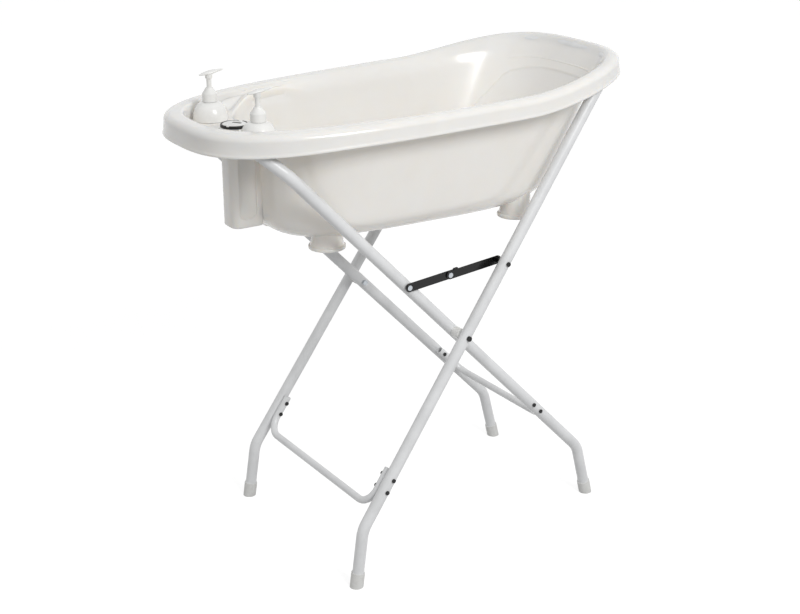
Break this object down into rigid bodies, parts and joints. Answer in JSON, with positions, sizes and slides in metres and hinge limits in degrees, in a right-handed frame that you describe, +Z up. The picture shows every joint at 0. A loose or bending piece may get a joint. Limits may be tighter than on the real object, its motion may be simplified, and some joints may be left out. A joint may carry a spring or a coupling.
{
  "type": "baby bath tub on folding stand",
  "caption": "Moulded baby bath tub with a raised head end, resting on a folding cross-leg tube stand, with pump dispensers and a lidded well on its foot-end shelf.",
  "frame": {"origin": "on the floor, under the middle of the tub's length and width", "axes": "+X along the tub to the head end, -Y to the front, +Z up"},
  "size_m": [0.9968, 0.5214, 1.0452],
  "materials": {
    "tub_plastic": "satin",
    "white_plastic": "satin",
    "clear_plastic": "satin",
    "seal_rubber": "matte",
    "white_powder_coat": "satin",
    "grey_foot_rubber": "matte",
    "zinc_plated_steel": "satin",
    "black_steel": "gloss"
  },
  "bodies": {
    "inner_frame": {"inner_frame_tube": "white_powder_coat", "inner_crossbar": "white_powder_coat", "inner_crossbar_screws": "black_steel", "front_inner_foot_cap": "grey_foot_rubber", "rear_inner_foot_cap": "grey_foot_rubber", "front_brace_rivet": "zinc_plated_steel", "rear_brace_rivet": "zinc_plated_steel"},
    "outer_frame": {"outer_frame_tube": "white_powder_coat", "outer_crossbar": "white_powder_coat", "outer_crossbar_screws": "black_steel", "front_outer_foot_cap": "grey_foot_rubber", "rear_outer_foot_cap": "grey_foot_rubber", "front_pivot_bolt": "black_steel", "rear_pivot_bolt": "black_steel", "front_pivot_spacer": "white_plastic", "rear_pivot_spacer": "white_plastic", "front_pivot_nut": "zinc_plated_steel", "rear_pivot_nut": "zinc_plated_steel", "front_brace_head": "black_steel", "rear_brace_head": "black_steel"},
    "tub": {"bath_tub": "tub_plastic"},
    "lid": {"well_lid": "white_plastic", "lid_seal": "seal_rubber"},
    "front_dispenser": {"front_dispenser_bottle": "white_plastic", "front_dispenser_collar": "white_plastic", "front_pump_chamber": "clear_plastic"},
    "front_pump": {"front_pump_head": "white_plastic"},
    "front_brace_short": {"front_short_link": "black_steel", "front_knuckle_rivet": "zinc_plated_steel"},
    "front_brace_long": {"front_long_link": "black_steel", "front_brace_bolt": "black_steel"},
    "rear_dispenser": {"rear_dispenser_bottle": "white_plastic", "rear_dispenser_collar": "white_plastic", "rear_pump_chamber": "clear_plastic"},
    "rear_pump": {"rear_pump_head": "white_plastic"},
    "rear_brace_short": {"rear_short_link": "black_steel", "rear_knuckle_rivet": "zinc_plated_steel"},
    "rear_brace_long": {"rear_long_link": "black_steel", "rear_brace_bolt": "black_steel"}
  },
  "joints": [
    {"name": "stand_fold", "type": "hinge", "parent": "inner_frame", "child": "outer_frame", "pos_m": [0.019, 0, 0.497], "axis": [0, -1, 0], "range_deg": [0, 62]},
    {"name": "tub_lift_off", "type": "slide", "parent": "inner_frame", "child": "tub", "axis": [0, 0, 1], "range_m": [0, 1.9]},
    {"name": "lid_lift_out", "type": "slide", "parent": "tub", "child": "lid", "axis": [0, 0, 1], "range_m": [0, 0.03]},
    {"name": "front_dispenser_lift_out", "type": "slide", "parent": "tub", "child": "front_dispenser", "axis": [0, 0, 1], "range_m": [0, 0.06]},
    {"name": "front_pump_press", "type": "slide", "parent": "front_dispenser", "child": "front_pump", "axis": [0, 0, -1], "range_m": [0, 0.014], "stiffness_N_per_m": 300},
    {"name": "front_brace_short_swing", "type": "hinge", "parent": "inner_frame", "child": "front_brace_short", "pos_m": [-0.1, -0.1972, 0.6198], "axis": [0, -1, 0], "range_deg": [0, 140]},
    {"name": "front_brace_knuckle", "type": "hinge", "parent": "front_brace_short", "child": "front_brace_long", "pos_m": [-0.00154, -0.1999, 0.62868], "axis": [0, -1, 0], "range_deg": [-158, 0]},
    {"name": "rear_dispenser_lift_out", "type": "slide", "parent": "tub", "child": "rear_dispenser", "axis": [0, 0, 1], "range_m": [0, 0.06]},
    {"name": "rear_pump_press", "type": "slide", "parent": "rear_dispenser", "child": "rear_pump", "axis": [0, 0, -1], "range_m": [0, 0.014], "stiffness_N_per_m": 300},
    {"name": "rear_brace_short_swing", "type": "hinge", "parent": "inner_frame", "child": "rear_brace_short", "pos_m": [-0.1, 0.1972, 0.6198], "axis": [0, -1, 0], "range_deg": [0, 140]},
    {"name": "rear_brace_knuckle", "type": "hinge", "parent": "rear_brace_short", "child": "rear_brace_long", "pos_m": [-0.00154, 0.1999, 0.62868], "axis": [0, -1, 0], "range_deg": [-158, 0]}
  ],
  "couplings": [
    {"joint": "tub_lift_off", "follows": "stand_fold", "m_per_rad": 1.7},
    {"joint": "front_brace_short_swing", "follows": "stand_fold", "ratio": 2.1958},
    {"joint": "front_brace_knuckle", "follows": "stand_fold", "ratio": -2.5075},
    {"joint": "rear_brace_short_swing", "follows": "stand_fold", "ratio": 2.1958},
    {"joint": "rear_brace_knuckle", "follows": "stand_fold", "ratio": -2.5075}
  ]
}
